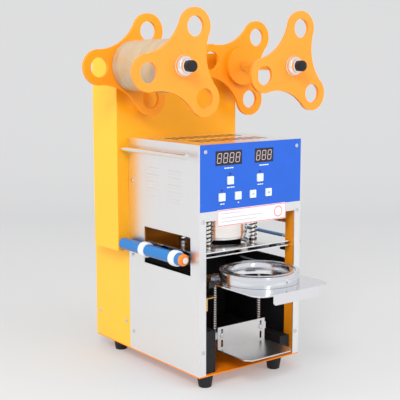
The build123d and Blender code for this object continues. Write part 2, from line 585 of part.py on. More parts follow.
def make_press():
    """The film plates, the guide posts and springs, the heated head and its cam drive."""
    lower = block(-SHELF_HALF_W, SHELF_HALF_W, 8, 172, *FILM_PLATE_Z[0])
    upper = block(-SHELF_HALF_W, SHELF_HALF_W, 8, 172, *FILM_PLATE_Z[1])
    hole = rod_z(FILM_PLATE_HOLE_R, 0, FILM_MID_Y, 200, 230)
    lower -= hole
    upper -= hole
    # The posts stand on the upper plate, so the film runs free between the plates.
    for x in (-POST_X, POST_X):
        for y in POST_Y:
            upper -= rod_z(POST_R, x, y, 200, 230)
    spacers = []
    for side in (-1, 1):
        x0, x1 = sorted((side * (OPENING_HALF_W - 0.5), side * (SHELF_HALF_W + 1)))
        corner = block(x0, x1, 7, LIP_BACK_Y + 1, 200, 230)
        lower -= corner
        upper -= corner
        for y in (16.0, 161.0):
            spacers.append(rod_z(6.0, side * 60.0, y, FILM_PLATE_Z[0][1], FILM_PLATE_Z[1][0]))
    parts["film_plates"] = group([lower, upper])
    for side in (-1, 1):
        for y in (24.0, 158.0):
            x0, x1 = sorted((side * (WALL_IN - 8), side * WALL_IN))
            bracket = block(x0, x1, y, y + 14, FILM_PLATE_Z[0][0] - 12, FILM_PLATE_Z[0][0])
            spacers.append(bracket)
    # An angle on the left return lip: an upright leg and an arm over the duct.
    angle_x = (-OPENING_HALF_W, -OPENING_HALF_W + 6.0, -DUCT_INNER_X)
    angle = block(angle_x[0], angle_x[1], 3.6, 5.2, 127.0, 148.0)
    angle += block(angle_x[0], angle_x[2], 3.6, 16.0, 146.4, 148.0)
    spacers.append(angle)
    parts["inner_brackets"] = group(spacers)
    posts = []
    springs = []
    hardware = []
    for x in (-POST_X, POST_X):
        for y in POST_Y:
            posts.append(rod_z(POST_R, x, y, FILM_PLATE_Z[1][0], BRIDGE_Z[1]))
            springs.append(tube_z(7.4, 5.2, x, y, FILM_PLATE_Z[1][1], CROSSHEAD_Z[0] - 0.1))
            bush = tube_z(8.0, POST_R + 0.06, x, y, CROSSHEAD_Z[0], CROSSHEAD_Z[1] + 10)
            hardware.append(bush)
    parts["guide_posts"] = group(posts)
    parts["return_springs"] = group(springs)
    crosshead = block(-60, 60, 41, 135, *CROSSHEAD_Z)
    crosshead = fillet(crosshead.edges().filter_by(Axis.Z), 6.0)
    for x in (-POST_X, POST_X):
        for y in POST_Y:
            crosshead -= rod_z(8.0, x, y, 260, 290)
    for side in (-1, 1):
        y0, y1 = sorted((FILM_MID_Y + side * 7.0, FILM_MID_Y + side * 12.0))
        ear = block(-9, 9, y0, y1, CROSSHEAD_Z[1] - 0.5, CROSSHEAD_Z[1] + 20)
        ear = fillet(ear.edges().filter_by(Axis.Y).sort_by(Axis.Z)[-2:], 8.0)
        crosshead += ear
    crosshead -= rod_y(3.0, 0, FOLLOWER_Z, FILM_MID_Y - 20, FILM_MID_Y + 20)
    for x, y in head_bolt_places():
        crosshead -= rod_z(2.6, x, y, 260, 290)
    parts["crosshead"] = crosshead
    hardware.append(rod_y(3.0, 0, FOLLOWER_Z, FILM_MID_Y - 13, FILM_MID_Y + 13))
    parts["cam_follower"] = tube_y(FOLLOWER_R, 3.05, 0, FOLLOWER_Z, FILM_MID_Y - 6, FILM_MID_Y + 6)
    shell = tube_z(HEAD_R, HEAD_R - 2.0, 0, FILM_MID_Y, HEAD_BOTTOM_Z + 4, CROSSHEAD_Z[0])
    parts["head_shell"] = shell
    heater = rod_z(HEAD_R - 2.0, 0, FILM_MID_Y, HEAD_BOTTOM_Z, HEAD_BOTTOM_Z + 16)
    heater -= rod_z(30.0, 0, FILM_MID_Y, HEAD_BOTTOM_Z - 1, HEAD_BOTTOM_Z + 3)
    parts["heater_block"] = heater
    for x, y in head_bolt_places():
        bolt = rod_z(4.5, x, y, CROSSHEAD_Z[1], CROSSHEAD_Z[1] + 4)
        hardware.append(bolt + rod_z(2.5, x, y, CROSSHEAD_Z[0], CROSSHEAD_Z[1]))
    parts["crosshead_hardware"] = group(hardware)
    # The bridge ties the four posts together above the cam and carries its bearing.
    bridge = block(-104, 104, 17, 195, *BRIDGE_Z)
    for x in (-POST_X, POST_X):
        for y in POST_Y:
            bridge -= rod_z(POST_R, x, y, 350, 370)
    bridge -= block(-60, 60, 24, 42, 350, 370)
    bearing = block(-20, 20, 114, 126, CAM_Z - 18, BRIDGE_Z[0])
    bearing -= rod_y(6.05, 0, CAM_Z, 100, 140)
    bearing += block(-20, 20, 108, 150, BRIDGE_Z[0] - 5, BRIDGE_Z[0])
    parts["top_bridge"] = group([bridge, bearing])
    parts["camshaft"] = rod_y(6.0, 0, CAM_Z, FILM_MID_Y - 9, 203)
    cam = extrude(cam_profile(), CAM_T / 2, both=True)
    # The profile's Y becomes Z; its X keeps its sense, seen from the front.
    cam = Pos(0, FILM_MID_Y, CAM_Z) * Rot(90, 0, 0) * cam
    cam -= rod_y(6.0, 0, CAM_Z, 70, 110)
    hub = tube_y(10.0, 6.0, 0, CAM_Z, FILM_MID_Y + CAM_T / 2, FILM_MID_Y + CAM_T / 2 + 7)
    parts["press_cam"] = cam + hub
    gearbox = block(-30, 30, 206, 238, CAM_Z - 30, CAM_Z + 30) + rod_y(8.5, 0, CAM_Z, 203.4, 206)
    gearbox -= rod_y(6.05, 0, CAM_Z, 195, 206.2)
    bracket = block(-40, 40, 202, 206, CAM_Z - 40, CAM_Z + 40) - rod_y(9.0, 0, CAM_Z, 200, 210)
    parts["drive_gearmotor"] = group([bracket, gearbox, rod_y(28.0, 0, CAM_Z, 238, 272)])


# Reels, rollers and guide rods ---------------------------------------------------------------------------
CORE_R = 34.0
CORE_BOSS_L = 10.0


def make_reels():
    """The two spindles with their reel plates, nuts and bearings, and the film roll."""
    bearings = []
    for name, side in (("left", -1), ("right", 1)):
        x = side * SPINDLE_X
        # A flanged bearing on the tower, then the shaft with its two plates and its front nut and knob.
        bearing = tube_y(21.0, SHAFT_R + 0.06, x, SPINDLE_Z, 192.0, BODY_D)
        bearing += tube_y(SHAFT_R + 4.9, SHAFT_R + 0.06, x, SPINDLE_Z, BODY_D, 212.0)
        bearings.append(bearing)
        shaft = rod_y(SHAFT_R, x, SPINDLE_Z, REEL_FRONT_Y - 20, 216.0)
        parts[f"{name}_reel_shaft"] = shaft
        plates = []
        for place, y in (("front", REEL_FRONT_Y), ("back", REEL_BACK_Y)):
            plates.append(reel_plate(x, y, REEL_ANGLES[f"{name}_{place}"]))
        for y0 in (REEL_FRONT_Y + REEL_T / 2, REEL_BACK_Y - REEL_T / 2 - CORE_BOSS_L):
            plates.append(tube_y(CORE_R, SHAFT_R, x, SPINDLE_Z, y0, y0 + CORE_BOSS_L))
        parts[f"{name}_reel_plates"] = group(plates)
        nut_back = REEL_FRONT_Y - REEL_T / 2
        nut = rod_y(17.0, x, SPINDLE_Z, nut_back - 9, nut_back)
        nut = fillet(nut.edges().filter_by(GeomType.CIRCLE).sort_by(Axis.Y)[0], 4.0)
        nut += rod_y(12.0, x, SPINDLE_Z, nut_back - 15, nut_back - 9)
        nut -= rod_y(SHAFT_R, x, SPINDLE_Z, nut_back - 30, nut_back + 1)
        knob = rod_y(9.0, x, SPINDLE_Z, nut_back - 25, nut_back - 15)
        knob = fillet(knob.edges().filter_by(GeomType.CIRCLE).sort_by(Axis.Y)[0], 2.5)
        knob -= rod_y(SHAFT_R, x, SPINDLE_Z, REEL_FRONT_Y - 20, nut_back)
        parts[f"{name}_reel_nut"] = group([nut, knob])
    parts["reel_bearings"] = group(bearings)
    core0 = REEL_FRONT_Y + REEL_T / 2 + 0.2
    core1 = REEL_BACK_Y - REEL_T / 2 - 0.2
    parts["film_roll"] = tube_y(42.0, CORE_R + 0.05, -SPINDLE_X, SPINDLE_Z, core0, core1)
    parts["take_up_motor"] = rod_y(12.4, -SPINDLE_X, SPINDLE_Z, 216.5, 268.0)


ROLLER_RINGS = (43.0, 128.5)
RING_HALF_W = 7.0
ROLLER_Y = (20.8, 196.0)


def make_rollers():
    """The two feed rollers with their shafts, and the two guide rods above them."""
    rods = []
    y0, y1 = ROLLER_Y
    for name, side in (("left", -1), ("right", 1)):
        x = side * ROLLER_X
        shaft = rod_y(4.0, x, ROLLER_Z, y0 - 0.6, BODY_D) + rod_y(2.45, x, ROLLER_Z, BODY_D, BODY_D + 8)
        shaft += rod_y(5.0, x, ROLLER_Z, y0 - 2.6, y0 - 0.6)
        rods.append(shaft)
        roller = [tube_y(10.0, 4.06, x, ROLLER_Z, y0 + 5, y1)]
        roller += [tube_y(12.8, 10.0, x, ROLLER_Z, y - RING_HALF_W, y + RING_HALF_W) for y in ROLLER_RINGS]
        roller.append(tube_y(9.6, 4.06, x, ROLLER_Z, y0, y0 + 5))
        parts[f"{name}_roller"] = group(roller)
    for side in (-1, 1):
        x = side * ROLLER_X
        rod = rod_y(4.0, x, GUIDE_ROD_Z, 18, BODY_D) + rod_y(2.45, x, GUIDE_ROD_Z, BODY_D, BODY_D + 8)
        rod += rod_y(5.2, x, GUIDE_ROD_Z, 15, 18)
        rods.append(rod)
    parts["tower_rods"] = group(rods)


make_base()
make_body()
make_controls()
make_tower()
make_rear_cover()
make_drawer()
make_press()
make_reels()
make_rollers()
parts["body_screws"] = group(body_screws)


def reel_reach(side):
    """How far the lobes of one pair of reel plates reach sideways, as a signed X."""
    middle = -SPINDLE_X if side == "left" else SPINDLE_X
    sign = -1 if side == "left" else 1
    places = (f"{side}_front", f"{side}_back")
    angles = [REEL_ANGLES[place] + turn for place in places for turn in (0, 120, 240)]
    widest = max(sign * math.cos(math.radians(angle)) for angle in angles)
    return middle + sign * (REEL_HOLE_CIRCLE * widest + REEL_LOBE_R)


# The origin is under the middle of the box that the finished machine fills.
SHIFT = (
    -(reel_reach("left") + reel_reach("right")) / 2,
    -(DRAWER_FRONT_Y + HOUSING_BACK + INLET_FLANGE_T) / 2,
    0,
)
os.makedirs("parts", exist_ok=True)
for node, shape in parts.items():
    export_step(Pos(*SHIFT) * shape, f"parts/{node}.step")
print(len(parts), "nodes, moved by", SHIFT)
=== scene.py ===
import json
import math

import bmesh
import bpy
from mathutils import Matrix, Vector

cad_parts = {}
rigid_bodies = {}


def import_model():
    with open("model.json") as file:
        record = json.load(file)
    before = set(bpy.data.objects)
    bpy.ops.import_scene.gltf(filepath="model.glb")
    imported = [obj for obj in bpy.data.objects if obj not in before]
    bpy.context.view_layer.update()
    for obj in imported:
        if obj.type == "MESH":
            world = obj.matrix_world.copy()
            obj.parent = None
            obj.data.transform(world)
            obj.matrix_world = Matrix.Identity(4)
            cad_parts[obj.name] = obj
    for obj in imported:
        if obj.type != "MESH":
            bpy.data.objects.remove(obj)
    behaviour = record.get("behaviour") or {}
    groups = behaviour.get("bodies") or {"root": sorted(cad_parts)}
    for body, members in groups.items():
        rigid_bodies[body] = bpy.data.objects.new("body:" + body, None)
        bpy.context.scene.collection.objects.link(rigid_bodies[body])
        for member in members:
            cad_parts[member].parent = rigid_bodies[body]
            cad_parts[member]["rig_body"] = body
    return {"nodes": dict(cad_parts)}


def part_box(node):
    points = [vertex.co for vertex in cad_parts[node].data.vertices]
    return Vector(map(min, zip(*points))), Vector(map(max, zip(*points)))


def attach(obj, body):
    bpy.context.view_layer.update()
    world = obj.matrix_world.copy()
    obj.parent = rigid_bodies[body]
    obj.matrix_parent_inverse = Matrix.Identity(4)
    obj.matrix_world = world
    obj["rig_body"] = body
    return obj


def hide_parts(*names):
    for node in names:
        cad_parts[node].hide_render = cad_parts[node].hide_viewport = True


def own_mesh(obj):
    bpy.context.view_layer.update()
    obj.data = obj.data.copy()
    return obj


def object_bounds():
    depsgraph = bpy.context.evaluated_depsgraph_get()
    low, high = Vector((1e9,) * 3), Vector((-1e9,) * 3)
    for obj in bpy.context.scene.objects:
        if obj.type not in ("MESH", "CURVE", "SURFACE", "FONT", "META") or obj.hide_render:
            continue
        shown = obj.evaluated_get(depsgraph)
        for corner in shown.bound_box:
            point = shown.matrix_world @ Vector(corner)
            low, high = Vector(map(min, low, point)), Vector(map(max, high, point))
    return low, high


# The looks of a cup sealing machine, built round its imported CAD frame. Metres, +Z up.

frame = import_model()
cad_low, cad_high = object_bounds()
MM = 0.001
AXES = {"X": Vector((1, 0, 0)), "Y": Vector((0, 1, 0)), "Z": Vector((0, 0, 1))}

# Paint and plastic colours, linear. Some are the one orange paint painted lighter or darker, as painted light
# and shade.
ORANGE = (0.98, 0.42, 0.010)
# The orange paint lighter for the front reel plates and darker for the back ones and the chassis: painted
# light and shade.
PAINTED_LIGHT_REEL_ORANGE = (0.96, 0.30, 0.026)
PAINTED_SHADE_ORANGE = (0.97, 0.31, 0.008)
TRAY_ORANGE = (0.90, 0.215, 0.004)
# The orange paint lightened towards yellow: painted light.
PAINTED_LIGHT_ORANGE = (0.96, 0.51, 0.034)
PANEL_BLUE = (0.018, 0.110, 0.56)
ROLLER_BLUE = (0.016, 0.178, 0.49)
STEEL = (0.95, 0.945, 0.94)
ALUMINIUM = (0.86, 0.86, 0.87)
CHROME = (0.90, 0.885, 0.865)
ZINC = (0.66, 0.66, 0.67)
BRASS = (0.80, 0.52, 0.20)
BLACK = (0.012, 0.012, 0.014)
WHITE = (0.66, 0.74, 0.80)
RED = (0.72, 0.03, 0.05)
FILM = (0.50, 0.36, 0.21)
CARD = (0.42, 0.30, 0.18)


# Materials -------------------------------------------------------------------------------------
class Surface:
    """A procedural material: a Principled shader and the textures that drive it."""

    def __init__(self, name, color, roughness, **fixed):
        self.material = bpy.data.materials.new(name)
        self.material.use_nodes = True
        self.tree = self.material.node_tree
        self.shader = self.tree.nodes["Principled BSDF"]
        self.color = color
        self.roughness = roughness
        self.shader.inputs["Base Color"].default_value = (*color, 1)
        self.shader.inputs["Roughness"].default_value = roughness
        for socket, value in fixed.items():
            self.shader.inputs[socket.replace("_", " ")].default_value = value
        self.place = self.add("ShaderNodeTexCoord").outputs["Object"]
        self.normal = None

    def add(self, kind, settings=(), **sockets):
        """A new node with its settings and its sockets' values."""
        node = self.tree.nodes.new(kind)
        for key, value in dict(settings).items():
            setattr(node, key, value)
        for key, value in sockets.items():
            node.inputs[key.replace("_", " ")].default_value = value
        return node

    def link(self, source, target):
        self.tree.links.new(source, target)

    def noise(self, scale, detail=2.0, stretch=(1, 1, 1), place=None):
        """Noise over the object's own space; a small stretch factor draws it out along that axis."""
        mapping = self.add("ShaderNodeMapping", Scale=stretch)
        texture = self.add("ShaderNodeTexNoise", Scale=scale, Detail=detail)
        self.link(place or self.place, mapping.inputs["Vector"])
        self.link(mapping.outputs["Vector"], texture.inputs["Vector"])
        return texture.outputs["Fac"]

    def remap(self, value, low, high, spread=0.25):
        """A texture value, which is mostly near a half, spread between two limits."""
        node = self.add("ShaderNodeMapRange")
        node.inputs["From Min"].default_value = 0.5 - spread
        node.inputs["From Max"].default_value = 0.5 + spread
        node.inputs["To Min"].default_value = low
        node.inputs["To Max"].default_value = high
        self.link(value, node.inputs["Value"])
        return node.outputs["Result"]

    def vary_color(self, value, share):
        """The base colour drifts lighter and darker by a share of itself."""
        mix = self.add("ShaderNodeMix", {"data_type": "RGBA"})
        colors = [socket for socket in mix.inputs if socket.type == "RGBA"]
        colors[0].default_value = (*(c * (1 - share) for c in self.color), 1)
        colors[1].default_value = (*(min(c * (1 + share), 1) for c in self.color), 1)
        self.link(self.remap(value, 0, 1), mix.inputs["Factor"])
        self.link(next(s for s in mix.outputs if s.type == "RGBA"), self.shader.inputs["Base Color"])

    def vary_roughness(self, value, amount):
        rough = self.remap(value, self.roughness - amount, self.roughness + amount)
        self.link(rough, self.shader.inputs["Roughness"])

    def bump(self, value, height):
        """Relief of a height in metres, on top of any relief already there."""
        node = self.add("ShaderNodeBump", Distance=height, Strength=1.0)
        self.link(value, node.inputs["Height"])
        if self.normal:
            self.link(self.normal, node.inputs["Normal"])
        self.normal = node.outputs["Normal"]
        self.link(self.normal, self.shader.inputs["Normal"])


def powder_coat(name, color, roughness=0.33):
    """Baked powder paint: an orange-peel skin, faint drift in shade and a clear gloss."""
    paint = Surface(name, color, roughness, Specular_IOR_Level=0.25, Coat_Weight=0.12, Coat_Roughness=0.16)
    paint.vary_color(paint.noise(9, detail=4), 0.035)
    paint.vary_roughness(paint.noise(60, detail=3), 0.05)
    paint.bump(paint.noise(420, detail=1), 22e-6)
    paint.bump(paint.noise(2600, detail=2), 3e-6)
    return paint.material


def edge_highlight(name, color):
    """Powder paint on a rounded edge: paler as a painted highlight, smoother, and uneven in tone in places.
    """
    # Paler colour on the rounded edge strips: a painted highlight.
    highlighted = tuple(c * 0.75 + 0.25 * min(c * 1.35 + 0.12, 1) for c in color)
    paint = Surface(name, highlighted, 0.26, Specular_IOR_Level=0.35, Coat_Weight=0.2, Coat_Roughness=0.1)
    paint.vary_color(paint.noise(300, detail=4), 0.10)
    paint.vary_roughness(paint.noise(500), 0.08)
    return paint.material


def brushed(name, color, grain, roughness=0.25, height=4e-7):
    """Sheet metal brushed along one axis."""
    long_way = {"X": (0.012, 1, 1), "Y": (1, 0.012, 1), "Z": (1, 1, 0.012)}[grain]
    metal = Surface(name, color, roughness, Metallic=1.0)
    lines = metal.noise(2400, detail=3, stretch=long_way)
    metal.vary_color(metal.noise(700, detail=3, stretch=long_way), 0.01)
    metal.vary_roughness(lines, 0.03)
    metal.bump(lines, height)
    metal.bump(metal.noise(14, detail=2), 6e-6)
    return metal.material


def turned(name, color, centre, roughness):
    """Metal turned on a lathe: fine rings round an upright axis through centre."""
    metal = Surface(name, color, roughness, Metallic=1.0, Anisotropic=0.55)
    away = metal.add("ShaderNodeVectorMath", {"operation": "SUBTRACT"})
    away.inputs[1].default_value = centre
    split = metal.add("ShaderNodeSeparateXYZ")
    metal.link(metal.place, away.inputs[0])
    metal.link(away.outputs["Vector"], split.inputs["Vector"])
    flat = metal.add("ShaderNodeCombineXYZ")
    for axis in "XY":
        metal.link(split.outputs[axis], flat.inputs[axis])
    radius = metal.add("ShaderNodeVectorMath", {"operation": "LENGTH"})
    metal.link(flat.outputs["Vector"], radius.inputs[0])
    rings = metal.add("ShaderNodeCombineXYZ")
    metal.link(radius.outputs["Value"], rings.inputs["X"])
    metal.link(split.outputs["Z"], rings.inputs["Y"])
    fine = metal.noise(2600, detail=2, place=rings.outputs["Vector"])
    metal.vary_roughness(fine, 0.06)
    metal.vary_color(metal.noise(420, detail=3, place=rings.outputs["Vector"]), 0.04)
    metal.bump(fine, 3e-6)
    tangent = metal.add("ShaderNodeTangent", {"direction_type": "RADIAL", "axis": "Z"})
    metal.link(tangent.outputs["Tangent"], metal.shader.inputs["Tangent"])
    return metal.material


def polished(name, color, roughness=0.07):
    """Bright plating with faint haze and fine handling marks."""
    metal = Surface(name, color, roughness, Metallic=1.0)
    metal.vary_color(metal.noise(90, detail=3), 0.03)
    metal.vary_roughness(metal.noise(160, detail=5), 0.035)
    metal.bump(metal.noise(500, detail=2), 1.5e-6)
    return metal.material


def plated(name, color, roughness=0.32):
    """Zinc plating: a mottled satin metal."""
    metal = Surface(name, color, roughness, Metallic=1.0)
    metal.vary_color(metal.noise(420, detail=4), 0.12)
    metal.vary_roughness(metal.noise(700, detail=3), 0.08)
    metal.bump(metal.noise(1500, detail=2), 4e-6)
    return metal.material


def moulded(name, color, roughness, grain=1800, height=8e-6, drift=0.04):
    """Moulded plastic or rubber with a fine spark-eroded grain."""
    plastic = Surface(name, color, roughness, Specular_IOR_Level=0.3)
    plastic.vary_color(plastic.noise(40, detail=3), drift)
    plastic.vary_roughness(plastic.noise(220, detail=3), 0.06)
    plastic.bump(plastic.noise(grain, detail=2), height)
    return plastic.material


def smooth_plastic(name, color, roughness, **fixed):
    """Glossy extruded or film plastic with slight flow marks."""
    plastic = Surface(name, color, roughness, Coat_Weight=0.3, Coat_Roughness=0.1, **fixed)
    plastic.vary_color(plastic.noise(50, detail=3), 0.05)
    plastic.vary_roughness(plastic.noise(130, detail=4), 0.05)
    plastic.bump(plastic.noise(300, detail=2), 6e-6)
    return plastic.material


def wound_film(name, color):
    """Film wound on a core: layer lines round the roll and a soft see-through body."""
    film = Surface(name, color, 0.3, Subsurface_Weight=0.25, Coat_Weight=0.5, Coat_Roughness=0.15)
    film.shader.inputs["Subsurface Radius"].default_value = (0.006, 0.004, 0.003)
    layers = film.noise(900, detail=3, stretch=(0.03, 1, 0.03))
    film.vary_color(film.noise(120, detail=3, stretch=(0.05, 1, 0.05)), 0.10)
    film.vary_roughness(layers, 0.07)
    film.bump(layers, 12e-6)
    return film.material


def lit_segment(name):
    """The pale bars of a numeric display, faintly lit."""
    bars = Surface(name, (0.50, 0.42, 0.44), 0.4, Emission_Strength=0.16)
    bars.shader.inputs["Emission Color"].default_value = (1.0, 0.72, 0.66, 1)
    bars.vary_color(bars.noise(800), 0.08)
    return bars.material


def circuit_board(name):
    """Green solder mask with darker track areas."""
    board = Surface(name, (0.012, 0.10, 0.04), 0.35, Coat_Weight=0.4)
    board.vary_color(board.noise(260, detail=5), 0.35)
    board.bump(board.noise(700, detail=2), 12e-6)
    return board.material


ring_low, ring_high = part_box("cup_ring")
ring_centre = (ring_low + ring_high) / 2
head_low, head_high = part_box("head_shell")
head_centre = (head_low + head_high) / 2

orange = powder_coat("orange_powder_coat", ORANGE)
orange_edge = edge_highlight("orange_powder_coat_edge", ORANGE)
# The orange paint lightened towards yellow, and its edges: painted light.
painted_light_orange = powder_coat("painted_light_orange_coat", PAINTED_LIGHT_ORANGE)
painted_light_orange_edge = edge_highlight("painted_light_orange_coat_edge", PAINTED_LIGHT_ORANGE)
# Reel and chassis paints: the orange painted lighter and darker, as painted light and shade.
reel_orange_painted_light = powder_coat("reel_orange_coat_painted_light", PAINTED_LIGHT_REEL_ORANGE)
painted_light_reel_edge = edge_highlight("reel_edge_painted_light", PAINTED_LIGHT_REEL_ORANGE)
orange_painted_shade = powder_coat("orange_coat_painted_shade", PAINTED_SHADE_ORANGE, 0.42)
painted_shade_reel_edge = edge_highlight("reel_edge_painted_shade", PAINTED_SHADE_ORANGE)
# Black for the wiring ducts, and black as painted shade inside the chassis.
duct_black_and_chassis_shade = moulded("duct_black_and_chassis_painted_shade", BLACK, 0.6)
tray_orange = powder_coat("tray_powder_coat", TRAY_ORANGE, 0.42)
slot_wall_painted_shade = moulded("cover_slot_painted_shade", BLACK, 0.6)
steel_z = brushed("stainless_upright_grain", STEEL, "Z", roughness=0.38, height=1.5e-7)
steel_x = brushed("stainless_cross_grain", STEEL, "X")
rest_steel = brushed("cup_rest_satin_steel", (0.78, 0.765, 0.755), "X", roughness=0.3)
drawer_steel = brushed("drawer_bright_steel", (0.84, 0.84, 0.87), "Y", roughness=0.14, height=2e-7)
steel_x_bright = brushed("stainless_bright_cross_grain", STEEL, "X", roughness=0.14, height=2e-7)
steel_edge = polished("stainless_cut_edge", STEEL, 0.16)
ring_metal = turned("cup_ring_turned_aluminium", (0.82, 0.83, 0.855), ring_centre, roughness=0.17)
head_metal = turned("head_turned_steel", (0.90, 0.85, 0.80), head_centre, roughness=0.13)
spring_steel = polished("spring_wire", (0.40, 0.40, 0.41), 0.2)
cast_metal = plated("machined_aluminium", ALUMINIUM, 0.28)
chrome = polished("bright_chrome", CHROME)
zinc = plated("zinc_plate", ZINC)
bright_zinc = plated("bright_zinc_plate", (0.78, 0.78, 0.79), 0.22)
yellow_zinc = plated("yellow_zinc_plate", BRASS, 0.3)
# Blackened steel for the bridge, rails and cam parts; also painted shade in the thread roots.
dark_steel = plated("blackened_steel_and_thread_shade", (0.07, 0.07, 0.075), 0.35)
grey_metal = powder_coat("motor_grey_coat", (0.19, 0.20, 0.215), 0.4)
panel_blue = moulded("panel_blue_print", PANEL_BLUE, 0.34, grain=1500, height=4e-6, drift=0.03)
key_white = moulded("key_white_plastic", WHITE, 0.38, drift=0.02)
label_white = smooth_plastic("label_white_film", (0.80, 0.77, 0.78), 0.3)
label_red = smooth_plastic("label_red_print", RED, 0.35)
label_grey = moulded("label_grey_print", (0.55, 0.50, 0.54), 0.5)
mark_white = moulded("panel_white_print", (0.80, 0.86, 0.95), 0.45)
mark_grey = moulded("key_grey_print", (0.16, 0.17, 0.20), 0.5)
lens_dark = smooth_plastic("display_smoked_lens", (0.012, 0.007, 0.009), 0.1)
segment_glow = lit_segment("display_segments")
lamp_dark = smooth_plastic("lamp_dark_lens", (0.05, 0.008, 0.01), 0.15)
black_plastic = moulded("black_plastic", (0.014, 0.014, 0.016), 0.42)
rubber = moulded("black_rubber", (0.016, 0.016, 0.018), 0.62, grain=900, height=25e-6)
roller_blue = smooth_plastic("roller_blue_sleeve", ROLLER_BLUE, 0.36, Specular_IOR_Level=0.25)
roller_white = moulded("roller_white_rubber", (0.78, 0.80, 0.82), 0.42, grain=700, height=15e-6)
roller_orange = moulded("roller_orange_cap", (0.80, 0.22, 0.03), 0.35)
film_wound = wound_film("wound_film", FILM)
card = moulded("film_core_card", CARD, 0.75, grain=600, height=30e-6, drift=0.1)
board_green = circuit_board("control_board_green")


# Piece helpers ---------------------------------------------------------------------------------
def mesh_object(name, bm, materials):
    """A mesh object of its own from a bmesh, shaded smooth except at its real corners."""
    mesh = bpy.data.meshes.new(name)
    bm.to_mesh(mesh)
    bm.free()
    for attribute in ("custom_normal", "sharp_face", "sharp_edge"):
        if attribute in mesh.attributes:
            mesh.attributes.remove(mesh.attributes[attribute])
    for material in materials:
        mesh.materials.append(material)
    mesh.shade_smooth()
    mesh.set_sharp_from_angle(angle=math.radians(32))
    piece = bpy.data.objects.new(name, mesh)
    bpy.context.scene.collection.objects.link(piece)
    return piece


def soften(piece, width, segments=2, edge_material=False):
    """Rounds the piece's corners; the rounded strips may take its second material."""
    bevel = piece.modifiers.new("soft_edges", "BEVEL")
    bevel.width = width
    bevel.segments = segments
    bevel.limit_method = "ANGLE"
    bevel.angle_limit = math.radians(35)
    bevel.harden_normals = True
    bevel.miter_outer = "MITER_ARC"
    if edge_material:
        bevel.material = 1
    return piece


def body_of_node(node):
    return frame["nodes"][node]["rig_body"]


def stands_for(piece, *nodes, slot=None):
    """The piece rides where its CAD nodes ride and hides them; its slot argument is not used."""
    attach(piece, body_of_node(nodes[0]))
    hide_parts(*nodes)
    return piece


def clean_copy(node):
    """A bmesh of a CAD node with its seams welded and its flat faces whole."""
    bm = bmesh.new()
    bm.from_mesh(frame["nodes"][node].data)
    bmesh.ops.remove_doubles(bm, verts=bm.verts, dist=2e-6)
    bmesh.ops.dissolve_limit(bm, angle_limit=math.radians(0.5), verts=bm.verts, edges=bm.edges)
    for face in bm.faces:
        face.material_index = 0
    return bm


def refine(node, material, width=0.35 * MM, edge=None, segments=2):
    """The CAD piece with rounded edges and its finished material."""
    materials = [material, edge] if edge else [material]
    piece = mesh_object(node + "_finished", clean_copy(node), materials)
    soften(piece, width, segments, edge_material=bool(edge))
    return stands_for(piece, node)


def finish(node, material):
    """A CAD piece whose mesh stays, with its material."""
    for material_slot in frame["nodes"][node].material_slots:
        material_slot.material = material


def lathe(name, profile, centre, axis, material, steps=96):
    """A turned piece: closed profile of (radius, distance along the axis) swung round centre."""
    bm = bmesh.new()
    along = AXES[axis]
    side = AXES["X"] if axis != "X" else AXES["Y"]
    other = along.cross(side)
    rings = []
    for index in range(steps):
        turn = 2 * math.pi * index / steps
        out = side * math.cos(turn) + other * math.sin(turn)
        rings.append([bm.verts.new(Vector(centre) + out * r + along * h) for r, h in profile])
    for index in range(steps):
        here = rings[index]
        there = rings[(index + 1) % steps]
        for corner in range(len(profile)):
            after = (corner + 1) % len(profile)
            bm.faces.new((here[corner], here[after], there[after], there[corner]))
    bmesh.ops.remove_doubles(bm, verts=bm.verts, dist=1e-7)
    bmesh.ops.dissolve_degenerate(bm, edges=bm.edges, dist=1e-7)
    bmesh.ops.recalc_face_normals(bm, faces=bm.faces)
    return mesh_object(name, bm, [material])


def tube_along(name, points, radius, material, sides):
    """A closed round tube through a list of points."""
    bm = bmesh.new()
    rings = []
    for index, point in enumerate(points):
        ahead = points[min(index + 1, len(points) - 1)]
        behind = points[max(index - 1, 0)]
        forward = (ahead - behind).normalized()
        side = forward.cross(AXES["Z"]).normalized()
        up = side.cross(forward)
        ring = []
        for step in range(sides):
            turn = 2 * math.pi * step / sides
            ring.append(bm.verts.new(point + (side * math.cos(turn) + up * math.sin(turn)) * radius))
        rings.append(ring)
    for here, there in zip(rings, rings[1:]):
        for step in range(sides):
            after = (step + 1) % sides
            bm.faces.new((here[step], here[after], there[after], there[step]))
    bm.faces.new(rings[0])
    bm.faces.new(list(reversed(rings[-1])))
    bmesh.ops.recalc_face_normals(bm, faces=bm.faces)
    return mesh_object(name, bm, [material])


def plate_y(name, outline, y_front, y_back, material):
    """A flat piece standing in the XZ plane, from a closed outline of (x, z) points."""
    bm = bmesh.new()
    front = [bm.verts.new((x, y_front, z)) for x, z in outline]
    back = [bm.verts.new((x, y_back, z)) for x, z in outline]
    bm.faces.new(front)
    bm.faces.new(list(reversed(back)))
    for index in range(len(outline)):
        after = (index + 1) % len(outline)
        bm.faces.new((front[index], front[after], back[after], back[index]))
    bmesh.ops.recalc_face_normals(bm, faces=bm.faces)
    return mesh_object(name, bm, [material])


def cut(piece, cutter):
    """Takes one piece's shape out of another and throws the cutter away."""
    modifier = piece.modifiers.new("cut", "BOOLEAN")
    modifier.operation = "DIFFERENCE"
    modifier.object = cutter
    view = bpy.context.evaluated_depsgraph_get()
    result = bpy.data.meshes.new_from_object(piece.evaluated_get(view))
    piece.modifiers.clear()
    piece.data = result
    bpy.data.objects.remove(cutter)


def join(name, pieces):
    """Several pieces of one material as one object."""
    bm = bmesh.new()
    for piece in pieces:
        bm.from_mesh(piece.data)
    joined = mesh_object(name, bm, [pieces[0].data.materials[0]])
    for piece in pieces:
        bpy.data.objects.remove(piece)
    return joined


